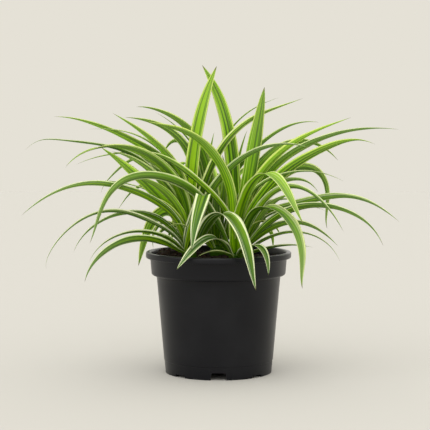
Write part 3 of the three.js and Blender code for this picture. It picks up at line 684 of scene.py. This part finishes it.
def turned(profile, sides):
    """Corners and faces of a closed profile turned round the upright axis."""
    corners = []
    rows = []
    for radius, height in profile:
        if radius < ON_AXIS:
            rows.append([len(corners)] * sides)
            corners.append((0.0, 0.0, height))
            continue
        rows.append(list(range(len(corners), len(corners) + sides)))
        for i in range(sides):
            angle = 2 * math.pi * i / sides
            corners.append((radius * math.cos(angle), radius * math.sin(angle), height))
    faces = []
    for low, high in zip(rows, rows[1:]):
        for i in range(sides):
            ahead = (i + 1) % sides
            face = dict.fromkeys((low[i], low[ahead], high[ahead], high[i]))
            if len(face) > 2:
                faces.append(tuple(face))
    return corners, faces


def side_faces(first, sides, rings):
    """Faces between rings of corners that are numbered one ring after another."""
    faces = []
    for low in range(first, first + (rings - 1) * sides, sides):
        for i in range(sides):
            after = (i + 1) % sides
            faces.append((low + i, low + after, low + sides + after, low + sides + i))
    return faces


def tip_faces(first, sides, tip):
    """Faces between one ring of corners and the corner that closes it."""
    return [(first + i, first + (i + 1) % sides, tip) for i in range(sides)]


def tube_faces(first, sides, rings):
    """Faces of a tube that is closed at both ends."""
    ends = [tuple(reversed(range(first, first + sides))),
            tuple(range(first + (rings - 1) * sides, first + rings * sides))]
    return ends + side_faces(first, sides, rings)


def inner_radius(height):
    """Radius of the inside of the pot's wall at a height."""
    if height > COLLAR_FOOT:
        share = (height - COLLAR_FOOT) / (POT_HEIGHT - LIP_HEIGHT - COLLAR_FOOT)
        return lerp(COLLAR_FOOT_RADIUS, COLLAR_TOP_RADIUS, share) - WALL
    share = (height - FOOT_BAND_HEIGHT) / (COLLAR_FOOT - FOOT_BAND_HEIGHT)
    return lerp(BODY_FOOT_RADIUS, BODY_TOP_RADIUS, share) - WALL


def pot_profile(settings):
    """The pot's section, from the middle of its underside round to the middle of its floor."""
    lip_foot = POT_HEIGHT - LIP_HEIGHT
    floor_top = FLOOR_LIFT + FLOOR_THICKNESS
    ring = FOOT_RADIUS - FOOT_RING_WIDTH
    mouth = inner_radius(lip_foot)
    lip = settings.lip_round / MM
    collar = settings.collar_round / MM
    foot = settings.foot_round / MM
    outline = [(0, FLOOR_LIFT), (ring - UNDERSIDE_FLAT, FLOOR_LIFT)]
    outline += arc((ring - RING_BEND, FLOOR_LIFT - RING_BEND), RING_BEND, 90, 0, steps=3)
    outline += [(ring, foot)]
    outline += arc((ring + foot, foot), foot, 180, 270, steps=4)
    outline += arc((FOOT_RADIUS - foot, foot), foot, -90, 0, steps=4)
    outline += [(BODY_FOOT_RADIUS - FOOT_BAND_STEP, FOOT_BAND_HEIGHT - FOOT_BAND_STEP),
                (BODY_FOOT_RADIUS, FOOT_BAND_HEIGHT)]
    for i in range(1, BODY_ROWS):
        share = i / BODY_ROWS
        outline.append((lerp(BODY_FOOT_RADIUS, BODY_TOP_RADIUS, share),
                        lerp(FOOT_BAND_HEIGHT, UNDER_LEDGE, share)))
    outline += [(BODY_TOP_RADIUS + out, COLLAR_FOOT + up) for out, up in LEDGE_HOLLOW]
    outline += arc((COLLAR_FOOT_RADIUS - collar, COLLAR_FOOT + collar), collar, -90, 0, steps=6)
    outline += [(COLLAR_TOP_RADIUS + out, lip_foot + up) for out, up in LIP_HOLLOW]
    outline += arc((LIP_RADIUS - LIP_UNDER_ROUND, lip_foot + LIP_UNDER_ROUND), LIP_UNDER_ROUND,
                   -90, 0, steps=4)
    outline += arc((LIP_RADIUS - lip, POT_HEIGHT - lip), lip, 0, 90, steps=6)
    outline += arc((mouth + MOUTH_SETBACK, POT_HEIGHT - MOUTH_ROUND), MOUTH_ROUND, 90, MOUTH_STOP,
                   steps=6)
    # The wall keeps its thickness where it steps in under the collar
    outline += [(mouth, lip_foot), (inner_radius(OVER_LEDGE), COLLAR_FOOT + WALL),
                (inner_radius(COLLAR_FOOT), COLLAR_FOOT - WALL),
                (inner_radius(floor_top), floor_top), (0, floor_top)]
    return outline


def pot_cutters():
    """Corners and faces of the blocks and plugs that cut the notches and the drain holes."""
    corners = []
    faces = []
    inside = FOOT_RADIUS - 2 * FOOT_RING_WIDTH
    outside = FOOT_RADIUS + FOOT_RING_WIDTH
    for turn in range(NOTCH_COUNT):
        # The first notch is at the front, and every other one is tall, with a drain hole behind it
        angle = 2 * math.pi * turn / NOTCH_COUNT - math.pi / 2
        ahead = (math.cos(angle), math.sin(angle))
        aside = (-ahead[1], ahead[0])
        tall = turn % 2 == 0
        height, foot_width, top_width = TALL_NOTCH if tall else LOW_NOTCH
        first = len(corners)
        for distance in (inside, outside):
            for half, up in ((-foot_width / 2, -NOTCH_BELOW), (foot_width / 2, -NOTCH_BELOW),
                             (top_width / 2, height), (-top_width / 2, height)):
                corners.append((ahead[0] * distance + aside[0] * half,
                                ahead[1] * distance + aside[1] * half, up))
        faces += tube_faces(first, 4, 2)
        if tall:
            first = len(corners)
            for up in (0, 2 * FLOOR_LIFT):
                for i in range(DRAIN_SIDES):
                    around = 2 * math.pi * i / DRAIN_SIDES
                    corners.append((ahead[0] * DRAIN_CIRCLE + DRAIN_RADIUS * math.cos(around),
                                    ahead[1] * DRAIN_CIRCLE + DRAIN_RADIUS * math.sin(around), up))
            faces += tube_faces(first, DRAIN_SIDES, 2)
    return corners, faces


def soil_rise(x, y):
    """How far the peat stands over its level."""
    from_heap = np.hypot(x - SOIL_HEAP_PLACE[0], y - SOIL_HEAP_PLACE[1])
    heap = SOIL_HEAP * np.exp(-((from_heap / SOIL_HEAP_SPREAD) ** 2))
    lumps = (np.sin(SOIL_WAVES[0] * x + SOIL_WAVE_START) * np.cos(SOIL_WAVES[1] * y)
             + np.sin(SOIL_SLANT[1] * y + SOIL_SLANT[0] * x))
    return heap + SOIL_LUMP * lumps


def soil_height(x, y):
    """Height of the peat, with its clods, at a place inside the pot."""
    width, clod_height, layer = CLOD
    clods = clod_height * noise.fractal(Vector((x / width, y / width, layer)), *CLOD_OCTAVES)
    width, grit_height, layer = GRIT
    grit = grit_height * noise.noise(Vector((x / width, y / width, layer)))
    edge = inner_radius(SOIL_LEVEL) - CLEARANCE
    fade = float(smooth(edge, edge - SOIL_EDGE_WIDTH, math.hypot(x, y)))
    rise = float(soil_rise(x, y)) + clods + grit
    return SOIL_LEVEL - SOIL_EDGE_DROP * (1 - fade) + rise * fade


def crumb(centre, size, draw):
    """A rough lump: a small ball whose corners are each pushed in or out."""
    corners = [(0, 0, -1)]
    for ring in range(1, CRUMB_RINGS):
        level = math.pi * ring / CRUMB_RINGS - math.pi / 2
        for i in range(CRUMB_SIDES):
            around = 2 * math.pi * i / CRUMB_SIDES
            corners.append((math.cos(level) * math.cos(around), math.cos(level) * math.sin(around),
                            math.sin(level)))
    corners.append((0, 0, 1))
    shape = np.array(corners) * np.array([draw.uniform(*pair) for pair in CRUMB_STRETCH])
    shape *= np.array([[draw.uniform(*CRUMB_PUSH)] for _ in corners])
    turn = draw.uniform(0, 2 * math.pi)
    cos, sin = math.cos(turn), math.sin(turn)
    shape = shape @ np.array([[cos, sin, 0], [-sin, cos, 0], [0, 0, 1]])
    faces = [face[::-1] for face in tip_faces(1, CRUMB_SIDES, 0)]
    faces += side_faces(1, CRUMB_SIDES, CRUMB_RINGS - 1)
    top = len(corners) - 1
    faces += tip_faces(top - CRUMB_SIDES, CRUMB_SIDES, top)
    return shape * size + np.array(centre), faces


def fibre(start, heading, length, draw):
    """A thin bent root or stalk lying on the peat: a closed tube of four sides."""
    bend = draw.uniform(-FIBRE_BEND, FIBRE_BEND)
    corners = []
    x, y = start
    for step in range(FIBRE_STEPS + 1):
        z = soil_height(x, y) + FIBRE_LIFT + FIBRE_ARCH * math.sin(math.pi * step / FIBRE_STEPS)
        girth = FIBRE_RADIUS * (1 - FIBRE_THINNING * abs(2 * step / FIBRE_STEPS - 1))
        for i in range(FIBRE_SIDES):
            around = 2 * math.pi * i / FIBRE_SIDES
            corners.append((x - math.sin(heading) * girth * math.cos(around),
                            y + math.cos(heading) * girth * math.cos(around),
                            z + girth * math.sin(around)))
        heading += bend * length / FIBRE_STEPS
        x += math.cos(heading) * length / FIBRE_STEPS
        y += math.sin(heading) * length / FIBRE_STEPS
    return corners, [face[::-1] for face in tube_faces(0, FIBRE_SIDES, FIBRE_STEPS + 1)]


class Gathered:
    """Corners, faces and marks of many parts that become one mesh."""

    def __init__(self, *marks):
        self.corners = []
        self.faces = []
        self.marks = {name: [] for name in marks}
        self.count = 0

    def add(self, corners, faces, **marks):
        """Takes in one part. A mark holds a number for each corner, or one for them all."""
        self.corners.append(np.asarray(corners, float))
        self.faces += [tuple(self.count + i for i in face) for face in faces]
        for name, values in marks.items():
            self.marks[name].append(np.broadcast_to(np.asarray(values, float), len(corners)))
        self.count += len(corners)

    def piece(self, name, material):
        """The mesh object of all the parts."""
        marks = {key: np.concatenate(values) for key, values in self.marks.items()}
        return new_piece(name, np.concatenate(self.corners), self.faces, material, marks)


def from_front(point):
    """True place of a point noted as it is seen from the front."""
    across, depth, height = point
    scale = 1 + depth / EYE_DISTANCE
    return (across * scale, depth, EYE_HEIGHT + (height - EYE_HEIGHT) * scale)


class LeafCurve:
    """The one smooth curve from a leaf's root through its points, measured along its length."""

    def __init__(self, crown, places):
        x, y, top = crown
        first = places[0]
        out = np.array([first[0] - x, first[1] - y])
        slant = math.atan2(np.linalg.norm(out), first[2] - top) / (math.pi / 2)
        out *= lerp(*ROOT_OFFSET, slant) / np.linalg.norm(out)
        root = (x + out[0], y + out[1], top - lerp(*ROOT_DEPTH, slant))
        self.points = np.array([root, *places])
        gaps = np.linalg.norm(np.diff(self.points, axis=0), axis=1) ** KNOT_POWER
        self.knots = np.concatenate([[0], np.cumsum(gaps)]) / gaps.sum()
        self.table = np.linspace(0, 1, CURVE_SAMPLES)
        steps = np.linalg.norm(np.diff(self.place(self.table), axis=0), axis=1)
        self.reached = np.concatenate([[0], np.cumsum(steps)])
        self.length = float(self.reached[-1])

    def place(self, t):
        """Points of the curve at values of t, which is 0 at the root and 1 at the tip."""
        weights = np.ones((len(t), len(self.knots)))
        for i, own in enumerate(self.knots):
            for j, other in enumerate(self.knots):
                if i != j:
                    weights[:, i] *= (t - other) / (own - other)
        return weights @ self.points

    def at(self, shares):
        """Places and headings at shares of the length."""
        t = np.interp(np.asarray(shares) * self.length, self.reached, self.table)
        small = 1e-4
        ahead = self.place(t + small) - self.place(t - small)
        return self.place(t), ahead / np.linalg.norm(ahead, axis=1)[:, None]


def width_share(t, taper):
    """Share of the full width at a share t of the length."""
    return lerp(BASE_SHARE, 1, smooth(0, WIDEST_AT, t)) * (1 - t ** taper)


def blade(curve, leaf, thickness, draw):
    """Corners, faces and marks of one leaf: a thin closed blade folded softly along its midrib."""
    width, taper, lean, turn, margin, tone = leaf
    steps = max(BLADE_LEAST_STEPS, round(curve.length / BLADE_STEP))
    t = np.linspace(0, 1, steps + 1)[:-1]
    places, along = curve.at(t)
    # The blade lies square to its lean at the root and turns more and more on its way to the tip
    lean = math.radians(lean)
    side = np.array([math.sin(lean), -math.cos(lean), 0.0])
    flat = side - along * (along @ side)[:, None]
    flat /= np.linalg.norm(flat, axis=1)[:, None]
    roll = (math.radians(turn) * (1 - (1 - t) ** 2))[:, None]
    across = flat * np.cos(roll) + np.cross(along, flat) * np.sin(roll)
    up = np.cross(across, along)
    # Each leaf has a slightly uneven width and a rippled edge
    phase = draw.uniform(0, 2 * math.pi)
    uneven = 1 + WIDTH_WANDER * np.sin(2 * math.pi * t * curve.length / WANDER_LENGTH + phase)
    half = width / 2 * width_share(t, taper) * uneven
    fold = np.radians(MIDDLE_FOLD + (BASE_FOLD - MIDDLE_FOLD) * (1 - t) ** 3)
    reach = (half * np.cos(fold))[:, None, None]
    lift = (half * np.sin(fold))[:, None, None]
    # From edge to edge the upper side is a soft V
    rows = np.linspace(-1, 1, BLADE_FACES + 1)
    soft = FOLD_SOFTNESS
    rise = (np.sqrt(rows ** 2 + soft ** 2) - soft) / (math.hypot(1, soft) - soft)
    wave = EDGE_RIPPLE * np.sin(2 * math.pi * t * curve.length / RIPPLE_LENGTH + phase)
    ripple = (wave[:, None, None] * (np.abs(rows) ** 3 * np.sign(rows))[None, :, None]
              * half[:, None, None])
    upper = (places[:, None, :] + across[:, None, :] * reach * rows[None, :, None]
             + up[:, None, :] * (lift * rise[None, :, None] + ripple))
    thin = np.minimum(1, half / THIN_FROM)[:, None, None]
    rib = 1 + RIB_THICKER * np.exp(-((rows / RIB_WIDTH) ** 2))
    depth = thickness * rib[None, :, None] * thin
    lower = (upper - up[:, None, :] * depth)[:, -2:0:-1, :]
    rings = np.concatenate([upper, lower], axis=1)
    around = rings.shape[1]
    tip = curve.at([1.0])[0]
    corners = np.concatenate([rings.reshape(-1, 3), tip])
    end = len(corners) - 1
    faces = [tuple(reversed(range(around)))] + side_faces(0, around, steps)
    faces += tip_faces(end - around, around, end)
    row_marks = np.concatenate([rows, rows[-2:0:-1]])
    under = np.concatenate([np.zeros(BLADE_FACES + 1), np.ones(BLADE_FACES - 1)])
    marks = {
        "across": np.append(np.tile(row_marks, steps), 0.0),
        "under": np.append(np.tile(under, steps), 0.0),
        "along": np.append(np.repeat(t, around), 1.0),
        "length": np.append(np.repeat(t * curve.length, around), curve.length) * MM,
        "leaf": draw.random(),
        "margin": margin,
        "tone": tone,
    }
    return corners, faces, marks


def seeded_shares(seed):
    """The model's own run of whole numbers under 2^32, as shares from 0 to 1."""
    state = seed
    while True:
        state = (state * SEED_FACTOR + SEED_STEP) % SEED_RANGE
        yield state / SEED_RANGE


def rear_leaves(name):
    """The leaves at the rear of a tuft, each with the true places that it passes."""
    count, seed, lean_range, crest_range, reach_range, drop_range = REAR[name].values()
    shares = seeded_shares(seed)

    def between(pair):
        return lerp(*pair, next(shares))

    x, y, _ = CROWNS[name]
    leaves = []
    for i in range(count):
        lean = lerp(*lean_range, (i + between(REAR_LEAN_PLACE)) / count)
        steep = next(shares)
        crest = lerp(*crest_range, steep)
        reach = between(reach_range) * (1 - REAR_STEEP_LOSS * steep)
        drop = between(drop_range)
        width = between(REAR_WIDTH)
        turn = between(REAR_TURN)
        ahead = np.array([math.cos(math.radians(lean)), math.sin(math.radians(lean))])
        heights = ((REAR_SHOULDER[0] * reach, lerp(REAR_BASE, crest, REAR_SHOULDER[1])),
                   (REAR_CREST_PLACE * reach, crest), (reach, crest - drop))
        places = [(x + ahead[0] * away, y + ahead[1] * away, height) for away, height in heights]
        tone = lerp(*REAR_TONE, steep)
        leaves.append(((width, REAR_TAPER, lean, turn, REAR_MARGIN, tone), places))
    return leaves


def stock_profile(crown):
    """Section of the stock from which a tuft's leaves grow."""
    top = crown[2]
    foot = [(STOCK_RADIUS * share, top - STOCK_DEPTH + up) for share, up in STOCK_FOOT]
    return foot + [(STOCK_RADIUS * share, top - down) for share, down in STOCK_HEAD]


class PLANT_OT_add_pot(bpy.types.Operator):
    """Build the moulded pot with its lip, collar, foot band, notches and drain holes"""

    bl_idname = "plant.add_pot"
    bl_label = "Add pot"

    def execute(self, context):
        settings = context.scene.plant.pot
        material = moulded_polypropylene(settings)
        pot = new_piece("nursery_pot", *turned(pot_profile(settings), settings.sides), material)
        cutters = new_piece("pot_cutters", *pot_cutters(), material)
        cut = pot.modifiers.new("drainage", "BOOLEAN")
        cut.operation = "DIFFERENCE"
        cut.solver = "EXACT"
        cut.object = cutters
        applied(pot)
        bpy.data.objects.remove(cutters)
        if len(pot.data.polygons) == 0:
            raise RuntimeError("the pot's drainage cut left nothing")
        pot.data.set_sharp_from_angle(angle=math.radians(SHARP_ANGLE))
        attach(pot, BODY)
        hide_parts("pot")
        return {"FINISHED"}


class PLANT_OT_add_peat(bpy.types.Operator):
    """Build the peat, with its clods, crumbs and fibres"""

    bl_idname = "plant.add_peat"
    bl_label = "Add peat"

    def execute(self, context):
        settings = context.scene.plant.peat
        draw = random.Random(PEAT_SEED)
        parts = Gathered("tone")
        floor = FLOOR_LIFT + FLOOR_THICKNESS + CLEARANCE
        edge = inner_radius(SOIL_LEVEL) - CLEARANCE
        profile = [(0, floor), (inner_radius(floor) - CLEARANCE, floor),
                   (inner_radius(COLLAR_FOOT) - CLEARANCE, COLLAR_FOOT - WALL + CLEARANCE),
                   (inner_radius(OVER_LEDGE) - CLEARANCE, COLLAR_FOOT + WALL + 2 * CLEARANCE)]
        profile += [(edge * (1 - i / SOIL_RINGS), SOIL_LEVEL) for i in range(SOIL_RINGS + 1)]
        corners, faces = turned(profile, SOIL_SIDES)
        corners = [(x, y, soil_height(x, y) if z == SOIL_LEVEL else z) for x, y, z in corners]
        parts.add(corners, faces, tone=PEAT_TONE)
        holes = [(x, y) for x, y, _ in CROWNS.values()]

        def free_place(margin):
            """A place on the peat, this far from the wall at least, and not on a stock."""
            while True:
                away = (edge - margin) * math.sqrt(draw.random())
                turn = draw.uniform(0, 2 * math.pi)
                x, y = away * math.cos(turn), away * math.sin(turn)
                if all(math.hypot(x - a, y - b) > STOCK_RADIUS for a, b in holes):
                    return x, y

        large = (LARGE_CRUMB, settings.largest_crumb / MM)
        for _ in range(settings.crumbs):
            size = draw.uniform(*(SMALL_CRUMB if draw.random() < SMALL_SHARE else large))
            x, y = free_place(CRUMB_ROOM * size)
            centre = (x, y, soil_height(x, y) + CRUMB_LIFT * size)
            parts.add(*crumb(centre, size, draw), tone=draw.uniform(*CRUMB_TONE))
        for _ in range(settings.fibres):
            length = draw.uniform(SHORTEST_FIBRE, settings.longest_fibre / MM)
            start = free_place(length + FIBRE_ROOM)
            heading = draw.uniform(0, 2 * math.pi)
            parts.add(*fibre(start, heading, length, draw), tone=FIBRE_TONE)
        peat = parts.piece("peat", damp_peat(settings))
        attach(peat, BODY)
        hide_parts("soil")
        return {"FINISHED"}


class PLANT_OT_add_tufts(bpy.types.Operator):
    """Build the three tufts of striped leaves on their stocks"""

    bl_idname = "plant.add_tufts"
    bl_label = "Add tufts"

    def execute(self, context):
        settings = context.scene.plant.leaf
        material = striped_leaf(settings)
        tables = {"left": LEFT_LEAVES, "right": RIGHT_LEAVES, "back": BACK_LEAVES}
        for name, table in tables.items():
            crown = CROWNS[name]
            draw = random.Random(name)
            parts = Gathered(*LEAF_MARKS)
            corners, faces = turned(stock_profile(crown), STOCK_SIDES)
            corners = np.array(corners) + np.array([crown[0], crown[1], 0])
            parts.add(corners, faces, **STOCK_MARKS)
            leaves = [(row[:6], [from_front(point) for point in row[6:]]) for row in table]
            leaves += rear_leaves(name)
            for leaf, places in leaves:
                curve = LeafCurve(crown, places)
                corners, faces, marks = blade(curve, leaf, settings.thickness / MM, draw)
                parts.add(corners, faces, **marks)
            tuft = parts.piece(name + "_tuft", material)
            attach(tuft, BODY)
            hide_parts("tuft_" + name)
        return {"FINISHED"}


class PLANT_OT_add_stage(bpy.types.Operator):
    """Build the plain studio: floor, even surroundings, soft lights and the camera"""

    bl_idname = "plant.add_stage"
    bl_label = "Add stage"

    def execute(self, context):
        settings = context.scene.plant.stage
        scene = context.scene
        # The floor gives back as much light as the surroundings hold, so that no horizon shows
        lamps = sum(power * math.sin(math.radians(height)) for _, _, height, _, power in SUNS) / math.pi
        paper = [shade / (shade + lamps) for shade in settings.surroundings[:3]]
        outline = [(0, 0), (settings.floor_radius / MM, 0)]
        floor = new_piece("floor", *turned(outline, FLOOR_SIDES), matt_paper([*paper, 1.0]))

        world = bpy.data.worlds.new("studio")
        scene.world = world
        world.use_nodes = True
        world.node_tree.nodes.clear()
        background = add_node(world.node_tree, "Background", {"Color": settings.surroundings[:]})
        add_node(world.node_tree, "OutputWorld", {"Surface": background})

        for name, compass, height, width, power in SUNS:
            lamp = bpy.data.lights.new(name, "SUN")
            lamp.angle = math.radians(width)
            lamp.energy = power
            made = bpy.data.objects.new(name, lamp)
            level = math.cos(math.radians(height))
            toward = Vector((level * math.cos(math.radians(compass)),
                             level * math.sin(math.radians(compass)), math.sin(math.radians(height))))
            made.rotation_euler = (-toward).to_track_quat("-Z", "Y").to_euler()
            scene.collection.objects.link(made)

        camera = bpy.data.objects.new("camera", bpy.data.cameras.new("camera"))
        camera.data.lens = settings.lens
        camera.data.sensor_width = SENSOR_WIDTH
        camera.location = (0, -EYE_DISTANCE * MM, EYE_HEIGHT * MM)
        aim = Vector([place * MM for place in CAMERA_AIM])
        camera.rotation_euler = (aim - camera.location).to_track_quat("-Z", "Y").to_euler()
        scene.collection.objects.link(camera)
        scene.camera = camera
        scene.view_settings.view_transform = "Standard"
        return {"FINISHED"}


class PLANT_PT_panel(bpy.types.Panel):
    """Lists what builds the potted plant"""

    bl_idname = "PLANT_PT_panel"
    bl_label = "Potted spider plant"
    bl_space_type = "VIEW_3D"
    bl_region_type = "UI"
    bl_category = "Plant"

    def draw(self, context):
        settings = context.scene.plant
        for label, group, operator in (
            ("Pot", settings.pot, PLANT_OT_add_pot),
            ("Peat", settings.peat, PLANT_OT_add_peat),
            ("Leaves", settings.leaf, PLANT_OT_add_tufts),
            ("Stage", settings.stage, PLANT_OT_add_stage),
        ):
            box = self.layout.box()
            box.label(text=label)
            for name in group.bl_rna.properties.keys():
                if name not in ("rna_type", "name"):
                    box.prop(group, name)
            box.operator(operator.bl_idname)


CLASSES = (
    PotSettings,
    PeatSettings,
    LeafSettings,
    StageSettings,
    PlantSettings,
    PLANT_OT_add_pot,
    PLANT_OT_add_peat,
    PLANT_OT_add_tufts,
    PLANT_OT_add_stage,
    PLANT_PT_panel,
)


def register():
    for cls in CLASSES:
        bpy.utils.register_class(cls)
    bpy.types.Scene.plant = bpy.props.PointerProperty(type=PlantSettings)


def unregister():
    del bpy.types.Scene.plant
    for cls in reversed(CLASSES):
        bpy.utils.unregister_class(cls)


def main():
    register()
    bpy.ops.plant.add_stage()
    bpy.ops.plant.add_pot()
    bpy.ops.plant.add_peat()
    bpy.ops.plant.add_tufts()


if __name__ == "__main__":
    main()
